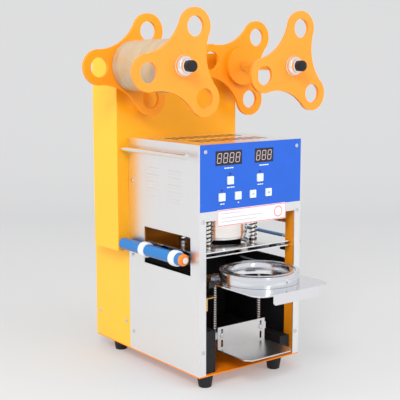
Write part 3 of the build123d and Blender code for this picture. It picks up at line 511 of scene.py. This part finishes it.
def rounded_rectangle(x0, x1, z0, z1, radius):
    """The (x, z) outline of a rectangle with round corners."""
    steps = 5
    corners = [(x1 - radius, z1 - radius, 0), (x0 + radius, z1 - radius, 90)]
    corners += [(x0 + radius, z0 + radius, 180), (x1 - radius, z0 + radius, 270)]
    outline = []
    for cx, cz, start in corners:
        for step in range(steps + 1):
            turn = math.radians(start + 90 * step / steps)
            outline.append((cx + radius * math.cos(turn), cz + radius * math.sin(turn)))
    return outline


# Sheets, plates and castings -------------------------------------------------------------------
def make_sheets():
    refine("base_tray", tray_orange, edge=painted_light_orange_edge)
    refine("tower_front", orange, edge=orange_edge)
    # The shell, lower housing and rear cover take the orange paint lightened towards yellow: painted light.
    refine("tower_shell", painted_light_orange, width=0.9 * MM, edge=painted_light_orange_edge, segments=3)
    refine("lower_housing", painted_light_orange, width=0.9 * MM, edge=painted_light_orange_edge, segments=3)
    refine("rear_cover", painted_light_orange, edge=painted_light_orange_edge)
    for side in ("left", "right"):
        refine(f"{side}_side_panel", steel_z, width=0.3 * MM, edge=steel_edge)
    refine("front_frame", steel_z, width=0.35 * MM, edge=steel_edge)
    refine("drawer_plate", drawer_steel, width=0.5 * MM, edge=steel_edge)
    refine("cup_rest", rest_steel, width=0.4 * MM, edge=steel_edge)
    refine("film_plates", steel_x_bright, width=0.4 * MM, edge=steel_edge)
    refine("control_panel", panel_blue, width=0.3 * MM)
    refine("wiring_ducts", duct_black_and_chassis_shade, width=0.4 * MM)
    refine("crosshead", cast_metal, width=0.5 * MM)
    refine("top_bridge", dark_steel, width=0.4 * MM)
    refine("drawer_rails", dark_steel, width=0.4 * MM)
    refine("feet", rubber, width=1.0 * MM, segments=3)
    refine("power_inlet", black_plastic, width=0.5 * MM)
    refine("switch_bezel", black_plastic, width=0.4 * MM)
    refine("power_rocker", black_plastic, width=0.4 * MM)
    refine("power_supply", grey_metal, width=0.6 * MM)
    refine("control_board", board_green, width=0.15 * MM)


def make_reel_plates():
    """The reel plates: the front ones painted lighter and the ones by the tower painted darker, as painted
    light and shade.
    """
    for side in ("left", "right"):
        node = f"{side}_reel_plates"
        low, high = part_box(node)
        middle = (low.y + high.y) / 2
        # Front plates take the orange painted lighter, back plates the orange painted darker: painted light
        # and shade.
        for place, forward, face, edge in (
            ("front", True, reel_orange_painted_light, painted_light_reel_edge),
            ("back", False, orange_painted_shade, painted_shade_reel_edge),
        ):
            bm = clean_copy(node)
            others = [f for f in bm.faces if (f.calc_center_median().y < middle) != forward]
            bmesh.ops.delete(bm, geom=others, context="FACES")
            plate = soften(mesh_object(f"{side}_{place}_reel_plate", bm, [face, edge]), 0.8 * MM, 3, True)
            stands_for(plate, node)


def make_top_cover():
    """The slotted cover; the slots' walls are painted black as painted shade."""
    bm = clean_copy("top_cover")
    low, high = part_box("top_cover")
    rim = 5 * MM
    for face in bm.faces:
        middle = face.calc_center_median()
        inside = low.x + rim < middle.x < high.x - rim and low.y + rim < middle.y < high.y - rim
        # Black on the slot walls: painted shade.
        if inside and abs(face.normal.z) < 0.5:
            face.material_index = 1
    stands_for(mesh_object("top_cover_finished", bm, [steel_x, slot_wall_painted_shade]), "top_cover")


def make_chassis():
    """The folded chassis: orange lips and film windows in the orange painted darker, and black inside below
    and above them as painted shade.
    """
    bm = clean_copy("inner_chassis")
    lip_depth = 22.5 * MM
    window_height = 45 * MM
    flange_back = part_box("left_side_panel")[0].y + lip_depth
    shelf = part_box("film_plates")[0].z
    ceiling = shelf + window_height
    cuts = (((0, flange_back, 0), (0, 1, 0)), ((0, 0, shelf), (0, 0, 1)), ((0, 0, ceiling), (0, 0, 1)))
    for place, facing in cuts:
        everything = bm.verts[:] + bm.edges[:] + bm.faces[:]
        bmesh.ops.bisect_plane(bm, geom=everything, plane_co=place, plane_no=facing)
    for face in bm.faces:
        # Inner walls further in, outside the window band, take the black: painted shade.
        middle = face.calc_center_median()
        if middle.y > flange_back and not shelf < middle.z < ceiling:
            face.material_index = 1
    piece = mesh_object("inner_chassis_finished", bm, [orange_painted_shade, duct_black_and_chassis_shade])
    stands_for(piece, "inner_chassis")


def make_inner_brackets():
    """Black spacers and brackets, and the yellow-plated angle on the left flange."""
    bm = clean_copy("inner_brackets")
    angle_height = 40 * MM
    angle_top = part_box("inner_brackets")[0].z + angle_height
    angle_faces = [face for face in bm.faces if face.calc_center_median().z < angle_top]
    angle = bmesh.new()
    corners = {}
    for face in angle_faces:
        for vert in face.verts:
            corners.setdefault(vert, angle.verts.new(vert.co))
        angle.faces.new([corners[vert] for vert in face.verts])
    bmesh.ops.delete(bm, geom=angle_faces, context="FACES")
    brackets = soften(mesh_object("film_plate_brackets", bm, [black_plastic]), 0.4 * MM)
    stands_for(brackets, "inner_brackets")
    plated_angle = soften(mesh_object("flange_angle", angle, [yellow_zinc]), 0.3 * MM)
    stands_for(plated_angle, "inner_brackets")


# Turned pieces ---------------------------------------------------------------------------------
def make_cup_ring():
    """The ring's rim, face groove and lead-in, as turned, and its pin hole."""
    low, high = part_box("cup_ring")
    outer = (high.x - low.x) / 2
    height = high.z - low.z
    bore = 47.5 * MM
    face = height - 1.0 * MM
    profile = [
        (bore, 0),
        (outer - 0.5 * MM, 0),
        (outer, 0.5 * MM),
        (outer, height - 1.2 * MM),
        (outer - 0.35 * MM, height - 0.35 * MM),
        (outer - 1.2 * MM, height),
        (outer - 7.0 * MM, height),
        (outer - 7.8 * MM, face),
        (outer - 10.5 * MM, face),
        (outer - 11.3 * MM, height),
        (bore + 2.6 * MM, height),
        (bore + 1.2 * MM, height - 1.1 * MM),
        (bore, height - 3.4 * MM),
    ]
    centre = (ring_centre.x, ring_centre.y, low.z)
    ring = lathe("cup_ring_turned", profile, centre, "Z", ring_metal, steps=160)
    pin_r = 1.3 * MM
    pin_profile = [(0, -6 * MM), (pin_r, -6 * MM), (pin_r, 5 * MM), (0, 5 * MM)]
    pin_centre = (ring_centre.x, low.y, low.z + 8 * MM)
    pin = lathe("pin_hole_cutter", pin_profile, pin_centre, "Y", ring_metal, 24)
    cut(ring, pin)
    stands_for(soften(ring, 0.2 * MM), "cup_ring")


def make_head():
    """The bright head skirt and the heated block inside it."""
    low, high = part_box("head_shell")
    radius = (high.x - low.x) / 2
    height = high.z - low.z
    wall = 2.0 * MM
    lip = 0.5 * MM
    profile = [
        (radius - wall, 0),
        (radius - lip, 0),
        (radius, lip),
        (radius, height - lip),
        (radius - lip, height),
        (radius - wall, height),
    ]
    shell = lathe("head_shell_turned", profile, (head_centre.x, head_centre.y, low.z), "Z", head_metal, 160)
    stands_for(shell, "head_shell")
    low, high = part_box("heater_block")
    radius = (high.x - low.x) / 2
    height = high.z - low.z
    recess = 3.0 * MM
    recess_r = 30 * MM
    profile = [
        (0, recess),
        (recess_r, recess),
        (recess_r, 0),
        (radius - 1.0 * MM, 0),
        (radius, 1.0 * MM),
        (radius, height),
        (0, height),
    ]
    block = lathe("heater_block_turned", profile, (head_centre.x, head_centre.y, low.z), "Z", ring_metal, 128)
    stands_for(block, "heater_block")


def make_reel_nuts():
    """A chromed stepped nut with a black knob on each spindle."""
    for side in ("left", "right"):
        node = f"{side}_reel_nut"
        low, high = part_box(node)
        centre = ((low.x + high.x) / 2, high.y, (low.z + high.z) / 2)
        bore = 8.0 * MM
        nut_profile = [
            (bore, 0),
            (17.0 * MM, 0),
            (17.0 * MM, -1.2 * MM),
            (16.2 * MM, -2.0 * MM),
            (16.2 * MM, -4.6 * MM),
            (15.2 * MM, -7.0 * MM),
            (13.2 * MM, -8.6 * MM),
            (12.0 * MM, -9.0 * MM),
            (12.0 * MM, -13.6 * MM),
            (11.0 * MM, -14.8 * MM),
            (bore, -15.0 * MM),
        ]
        nut = soften(lathe(f"{side}_nut_chrome", nut_profile, centre, "Y", chrome), 0.25 * MM)
        stands_for(nut, node)
        length = high.y - low.y
        knob_profile = [
            (bore, -15.0 * MM),
            (8.8 * MM, -15.0 * MM),
            (9.0 * MM, -15.6 * MM),
            (9.0 * MM, 2.2 * MM - length),
            (8.3 * MM, 0.8 * MM - length),
            (6.5 * MM, 0 - length),
            (0, 0 - length),
            (0, 4.6 * MM - length),
            (bore, 4.6 * MM - length),
        ]
        knob = lathe(f"{side}_nut_knob", knob_profile, centre, "Y", black_plastic, 64)
        stands_for(knob, node, slot="black_plastic")


def make_rollers():
    """Blue sleeves with white rubber rings and an orange end cap."""
    for side in ("left", "right"):
        node = f"{side}_roller"
        low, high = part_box(node)
        centre = ((low.x + high.x) / 2, low.y, (low.z + high.z) / 2)
        length = high.y - low.y
        cap_end = 5.0 * MM
        bore = 4.1 * MM
        cap_profile = [
            (bore, 0),
            (7.6 * MM, 0),
            (9.0 * MM, 0.7 * MM),
            (9.6 * MM, 2.0 * MM),
            (9.6 * MM, cap_end),
            (bore, cap_end),
        ]
        cap = soften(lathe(f"{side}_roller_cap", cap_profile, centre, "Y", roller_orange, 64), 0.3 * MM)
        stands_for(cap, node, slot="orange_paint")
        sleeve_profile = [
            (bore, cap_end),
            (9.5 * MM, cap_end),
            (10.0 * MM, cap_end + 0.5 * MM),
            (10.0 * MM, length - 0.5 * MM),
            (9.5 * MM, length),
            (bore, length),
        ]
        stands_for(lathe(f"{side}_roller_sleeve", sleeve_profile, centre, "Y", roller_blue, 64), node)
        for index, ring_middle in enumerate((22.2, 107.7)):
            near = (ring_middle - 7.0) * MM
            far = (ring_middle + 7.0) * MM
            ring_profile = [
                (10.0 * MM, near),
                (11.6 * MM, near),
                (12.5 * MM, near + 0.8 * MM),
                (12.8 * MM, near + 2.2 * MM),
                (12.8 * MM, far - 2.2 * MM),
                (12.5 * MM, far - 0.8 * MM),
                (11.6 * MM, far),
                (10.0 * MM, far),
            ]
            ring = lathe(f"{side}_roller_ring_{index + 1}", ring_profile, centre, "Y", roller_white, 64)
            stands_for(ring, node, slot="key_white")


def make_film_roll():
    """Film wound on a card core; the roll's ends show slight telescoping of the layers."""
    low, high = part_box("film_roll")
    centre = ((low.x + high.x) / 2, low.y, (low.z + high.z) / 2)
    radius = (high.x - low.x) / 2
    length = high.y - low.y
    core_out = 37.0 * MM
    core_in = 34.2 * MM
    layers = 14
    near_end = []
    far_end = []
    for index in range(layers + 1):
        r = core_out + (radius - core_out) * index / layers
        step = 0.35 * MM * (1 + math.sin(index * 2.3)) + 0.4 * MM
        near_end.append((r, step))
        far_end.append((r, length - step * 0.8))
    profile = near_end + list(reversed(far_end))
    roll = lathe("film_roll_wound", profile, centre, "Y", film_wound, 128)
    stands_for(roll, "film_roll")
    core_profile = [(core_in, 0), (core_out, 0), (core_out, length), (core_in, length)]
    core = lathe("film_roll_core", core_profile, centre, "Y", card, 96)
    stands_for(soften(core, 0.3 * MM), "film_roll")


# Springs and threads ---------------------------------------------------------------------------
def make_springs():
    """Four coil springs round the guide posts."""
    low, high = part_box("return_springs")
    wire = 0.95 * MM
    mean = 6.3 * MM
    turns = 8.5
    outer = 7.4 * MM
    height = high.z - low.z
    steps = int(turns * 24)
    names = {(0, 0): "front_left", (1, 0): "front_right", (0, 1): "back_left", (1, 1): "back_right"}
    for (right, back), place in names.items():
        x = high.x - outer if right else low.x + outer
        y = high.y - outer if back else low.y + outer
        points = []
        for step in range(steps + 1):
            share = step / steps
            # The end turns lie flat, so the pitch opens up over the first and last turn.
            flat = 1.0 / turns
            lift = min(max((share - flat * 0.8) / (1 - 1.6 * flat), 0), 1)
            turn = 2 * math.pi * turns * share
            rise = wire + (height - 2 * wire) * lift
            points.append(Vector((x + mean * math.cos(turn), y + mean * math.sin(turn), low.z + rise)))
        spring = tube_along(f"return_spring_{place}", points, wire, spring_steel, sides=8)
        stands_for(spring, "return_springs")
        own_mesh(spring)


def make_threaded_rods():
    """Threaded hanger rods between the drawer plate and the cup rest's clamps, with painted shade in the
    thread roots.
    """
    low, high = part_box("hanger_rods")
    radius = (high.y - low.y) / 2
    pitch = 4.0 * MM
    depth = 1.1 * MM
    sides = 20
    rows_per_pitch = 6
    for side, x in (("left", low.x + radius), ("right", high.x - radius)):
        y = (low.y + high.y) / 2
        bm = bmesh.new()
        rows = []
        count = int((high.z - low.z) / pitch * rows_per_pitch)
        for row in range(count + 1):
            z = low.z + (high.z - low.z) * row / count
            ring = []
            for step in range(sides):
                phase = (row / rows_per_pitch + step / sides) % 1.0
                r = radius - depth * abs(2 * phase - 1)
                turn = 2 * math.pi * step / sides
                ring.append(bm.verts.new((x + r * math.cos(turn), y + r * math.sin(turn), z)))
            rows.append(ring)
        for here, there in zip(rows, rows[1:]):
            for step in range(sides):
                after = (step + 1) % sides
                corners = (here[step], here[after], there[after], there[step])
                reach = sum(math.hypot(v.co.x - x, v.co.y - y) for v in corners) / 4
                # Faces deep in the thread root take the dark steel: painted shade.
                in_shaded_root = reach < radius - 0.55 * depth
                bm.faces.new(corners).material_index = 1 if in_shaded_root else 0
        bm.faces.new(list(reversed(rows[0])))
        bm.faces.new(rows[-1])
        bmesh.ops.recalc_face_normals(bm, faces=bm.faces)
        rod = mesh_object(f"hanger_rod_{side}_threaded", bm, [bright_zinc, dark_steel])
        stands_for(rod, "hanger_rods")


# Control panel face ----------------------------------------------------------------------------
SEGMENTS = {
    # Each bar of a digit: its middle in half-widths and half-heights, and if it lies flat.
    "top": (0, 1, True),
    "middle": (0, 0, True),
    "bottom": (0, -1, True),
    "upper_left": (-1, 0.5, False),
    "upper_right": (1, 0.5, False),
    "lower_left": (-1, -0.5, False),
    "lower_right": (1, -0.5, False),
}
LEAN = 0.12


def digit(name, x, z, half_w, half_h, y_front, y_back):
    """One seven-bar digit with every bar showing, leaning a little to the right."""
    bar = 0.5 * MM
    gap = 0.25 * MM
    pieces = []
    for label, (across, up, flat) in SEGMENTS.items():
        reach = (half_w if flat else half_h / 2) - gap
        shape = [(-reach, 0), (-reach + bar, bar), (reach - bar, bar)]
        shape += [(reach, 0), (reach - bar, -bar), (-reach + bar, -bar)]
        if not flat:
            shape = [(b, a) for a, b in shape]
        middle_x = across * half_w
        middle_z = up * half_h
        outline = []
        for a, b in shape:
            dz = middle_z + b
            outline.append((x + middle_x + a + LEAN * dz, z + dz))
        pieces.append(plate_y(f"{name}_{label}", outline, y_front, y_back, segment_glow))
    return pieces


def make_displays():
    """Smoked lenses with every bar of their digits lit."""
    for node, count in (("time_display", 4), ("temperature_display", 3)):
        low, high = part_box(node)
        finish(node, lens_dark)
        y_front = low.y - 0.15 * MM
        margin = 2 * MM
        half_h = 7.4 * MM
        pitch = (high.x - low.x - 2 * margin) / count
        middle_z = (low.z + high.z) / 2
        bars = []
        for index in range(count):
            x = low.x + margin + pitch * (index + 0.5)
            bars += digit(f"{node}_{index}", x, middle_z, pitch * 0.30, half_h, y_front, low.y)
        digits = join(f"{node}_digits", bars)
        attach(digits, "frame")


def rectangle(x0, x1, z0, z1):
    """The (x, z) outline of a plain rectangle."""
    return [(x0, z0), (x1, z0), (x1, z1), (x0, z1)]


def printed_dashes(name, x, z, lengths, y_face, height, material):
    """A short row of plain dashes, which stands for a printed legend."""
    gap = 0.9 * MM
    total = sum(lengths) + gap * (len(lengths) - 1)
    left = x - total / 2
    pieces = []
    for index, length in enumerate(lengths):
        outline = rectangle(left, left + length, z - height, z + height)
        y_front = y_face - 0.06 * MM
        pieces.append(plate_y(f"{name}_{index}", outline, y_front, y_face + 0.02 * MM, material))
        left += length + gap
    return pieces


def make_keys():
    """White keys, the printed dashes under them, and the minus and plus marks."""
    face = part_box("control_panel")[0].y
    dashes = []
    legends = {
        "mode_button": (3.2, 2.0, 4.4, 2.6),
        "manual_button": (4.2, 2.4, 3.2),
        "set_button": (4.6, 3.0),
        "reset_button": (2.6,),
    }
    display_legends = {
        "time_display": (3.4, 5.2, 2.6, 4.0),
        "temperature_display": (5.6, 3.0, 4.6, 3.4),
    }
    for node in (*legends, "minus_button", "plus_button"):
        refine(node, key_white, width=0.35 * MM, segments=3)
        low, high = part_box(node)
        x = (low.x + high.x) / 2
        middle_z = (low.z + high.z) / 2
        if node in legends:
            lengths = [length * MM for length in legends[node]]
            z = middle_z - 11.0 * MM
            dashes += printed_dashes(node, x + 1 * MM, z, lengths, face, 0.75 * MM, mark_white)
        else:
            front = low.y
            arm = 2.2 * MM
            half_line = 0.55 * MM
            marks = printed_dashes(node, x, middle_z, [2 * arm], front, half_line, mark_grey)
            if node == "plus_button":
                outline = rectangle(x - half_line, x + half_line, middle_z - arm, middle_z + arm)
                y_front = front - 0.07 * MM
                marks.append(plate_y("plus_upright", outline, y_front, front + 0.02 * MM, mark_grey))
            mark = join(f"{node}_mark", marks)
            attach(mark, body_of_node(node))
    for node, legend_lengths in display_legends.items():
        low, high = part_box(node)
        x = (low.x + high.x) / 2
        lengths = [length * MM for length in legend_lengths]
        dashes += printed_dashes(node, x, low.z - 4.6 * MM, lengths, face, 0.8 * MM, mark_white)
    legend = join("panel_legend_dashes", dashes)
    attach(legend, "frame")


def frame_outline(name, x0, x1, z0, z1, radius, line, y_front, y_back, material):
    """A thin closed line round a rounded rectangle."""
    outer = rounded_rectangle(x0, x1, z0, z1, radius)
    inner = rounded_rectangle(x0 + line, x1 - line, z0 + line, z1 - line, max(radius - line, 0.3 * MM))
    bm = bmesh.new()
    loops = []
    for outline in (outer, inner):
        for y in (y_front, y_back):
            loops.append([bm.verts.new((x, y, z)) for x, z in outline])
    outer_front, outer_back, inner_front, inner_back = loops
    count = len(outer)
    for index in range(count):
        after = (index + 1) % count
        for first, second in (
            (outer_front, inner_front),
            (inner_front, inner_back),
            (inner_back, outer_back),
            (outer_back, outer_front),
        ):
            bm.faces.new((first[index], first[after], second[after], second[index]))
    bmesh.ops.recalc_face_normals(bm, faces=bm.faces)
    return mesh_object(name, bm, [material])


def make_label():
    """The white label with a red border, a plain red ring and three faint bars."""
    refine("label_plate", label_white, width=0.2 * MM)
    low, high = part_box("label_plate")
    y_front = low.y - 0.05 * MM
    y_back = low.y + 0.05 * MM
    inset = 0.8 * MM
    border = frame_outline(
        "label_border", low.x + inset, high.x - inset, low.z + inset, high.z - inset, 2.2 * MM, 1.0 * MM,
        y_front, y_back, label_red,
    )
    ring_r = 9.0 * MM
    ring_hole = ring_r - 1.3 * MM
    ring_deep = 0.1 * MM
    ring_profile = [(ring_hole, 0), (ring_r, 0), (ring_r, ring_deep), (ring_hole, ring_deep)]
    ring_middle = (high.x - 17.0 * MM, y_front, (low.z + high.z) / 2)
    ring = lathe("label_ring", ring_profile, ring_middle, "Y", label_red, 48)
    bars = []
    half_bar = 0.7 * MM
    for index, (length, drop) in enumerate(((40, 6.5), (86, 13.5), (74, 19.5))):
        z = high.z - drop * MM
        x0 = low.x + 8 * MM
        outline = rectangle(x0, x0 + length * MM, z - half_bar, z + half_bar)
        bars.append(plate_y(f"label_bar_{index}", outline, y_front, y_back, label_grey))
    faint = join("label_bars", bars)
    for piece in (border, ring, faint):
        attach(piece, "frame")


# Pieces whose CAD shape stays ------------------------------------------------------------------
def finish_cad_pieces():
    materials = {
        bright_zinc: ("body_screws", "drawer_fasteners"),
        zinc: ("crosshead_hardware",),
        chrome: ("guide_posts", "tower_rods", "camshaft", "left_reel_shaft", "right_reel_shaft"),
        cast_metal: ("reel_bearings",),
        dark_steel: ("press_cam", "cam_follower"),
        lamp_dark: ("indicator_lamps",),
        grey_metal: ("drive_gearmotor", "take_up_motor"),
    }
    for material, nodes in materials.items():
        for node in nodes:
            finish(node, material)


# Stage: floor, backdrop, lights and camera -----------------------------------------------------
YAW = math.radians(37.45)
PITCH = math.radians(8.56)
# From the lower front left corner of the steel body to the camera.
CAMERA_OFFSET = Vector((-0.83336, -1.08973, 0.49224))


def studio_paper():
    """Plain light grey paper, one tone all over."""
    tone = (0.44, 0.44, 0.44)
    paper = Surface("studio_paper", tone, 0.8, Specular_IOR_Level=0.15, Emission_Strength=0.55)
    paper.shader.inputs["Emission Color"].default_value = (*tone, 1)
    return paper.material


def make_stage():
    """A sheet of grey paper: a floor that bends up into a wall behind the machine."""
    near = -1.5
    far = 1.5
    bend = 0.9
    wall = 2.6
    half_w = 3.2
    steps = 24
    profile = [(near, 0.0), (far, 0.0)]
    for step in range(1, steps + 1):
        turn = math.pi / 2 * step / steps
        profile.append((far + bend * math.sin(turn), bend * (1 - math.cos(turn))))
    profile.append((far + bend, wall))
    ahead = Vector((math.sin(YAW), math.cos(YAW), 0))
    side = Vector((math.cos(YAW), -math.sin(YAW), 0))
    bm = bmesh.new()
    rows = []
    for distance, height in profile:
        middle = ahead * distance + AXES["Z"] * height
        rows.append([bm.verts.new(middle - side * half_w), bm.verts.new(middle + side * half_w)])
    for here, there in zip(rows, rows[1:]):
        bm.faces.new((here[0], here[1], there[1], there[0]))
    mesh_object("studio_sweep", bm, [studio_paper()])


def area_light(name, offset, size, power, mirrored=False):
    """A soft panel that looks at the middle of the machine; shiny metal may mirror it or not."""
    data = bpy.data.lights.new(name, "AREA")
    data.shape = "RECTANGLE"
    data.size, data.size_y = size
    data.energy = power
    light = bpy.data.objects.new(name, data)
    bpy.context.scene.collection.objects.link(light)
    middle = (cad_low + cad_high) / 2
    light.location = middle + Vector(offset)
    light.rotation_euler = (middle - light.location).to_track_quat("-Z", "Y").to_euler()
    light.visible_glossy = mirrored


def make_lights():
    area_light("key_left", (-1.5, -1.3, 1.5), (0.8, 0.8), 32)
    area_light("fill_front", (0.9, -2.0, 0.9), (1.8, 1.6), 22)
    area_light("side_left", (-2.2, 0.9, 0.5), (1.6, 2.0), 18)
    area_light("streak", (-0.5, -1.9, 0.9), (0.16, 1.6), 2.4, mirrored=True)
    world = bpy.data.worlds.new("studio_world")
    world.use_nodes = True
    background = world.node_tree.nodes["Background"]
    background.inputs["Color"].default_value = (0.96, 0.97, 1.0, 1)
    background.inputs["Strength"].default_value = 0.84
    bpy.context.scene.world = world


def make_camera():
    """A long-lens view from the front left, a little above the machine's middle."""
    data = bpy.data.cameras.new("photo_camera")
    data.sensor_width = 36.0
    data.lens = 81.0
    camera = bpy.data.objects.new("photo_camera", data)
    bpy.context.scene.collection.objects.link(camera)
    corner = Vector(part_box("left_side_panel")[0])
    corner.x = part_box("base_tray")[0].x
    camera.location = corner + CAMERA_OFFSET
    ahead = (math.sin(YAW) * math.cos(PITCH), math.cos(YAW) * math.cos(PITCH), -math.sin(PITCH))
    camera.rotation_euler = Vector(ahead).to_track_quat("-Z", "Y").to_euler()
    bpy.context.scene.camera = camera


make_sheets()
make_reel_plates()
make_top_cover()
make_chassis()
make_inner_brackets()
make_cup_ring()
make_head()
make_reel_nuts()
make_rollers()
make_film_roll()
make_springs()
make_threaded_rods()
make_displays()
make_keys()
make_label()
finish_cad_pieces()
make_stage()
make_lights()
make_camera()
bpy.context.scene.view_settings.view_transform = "Standard"
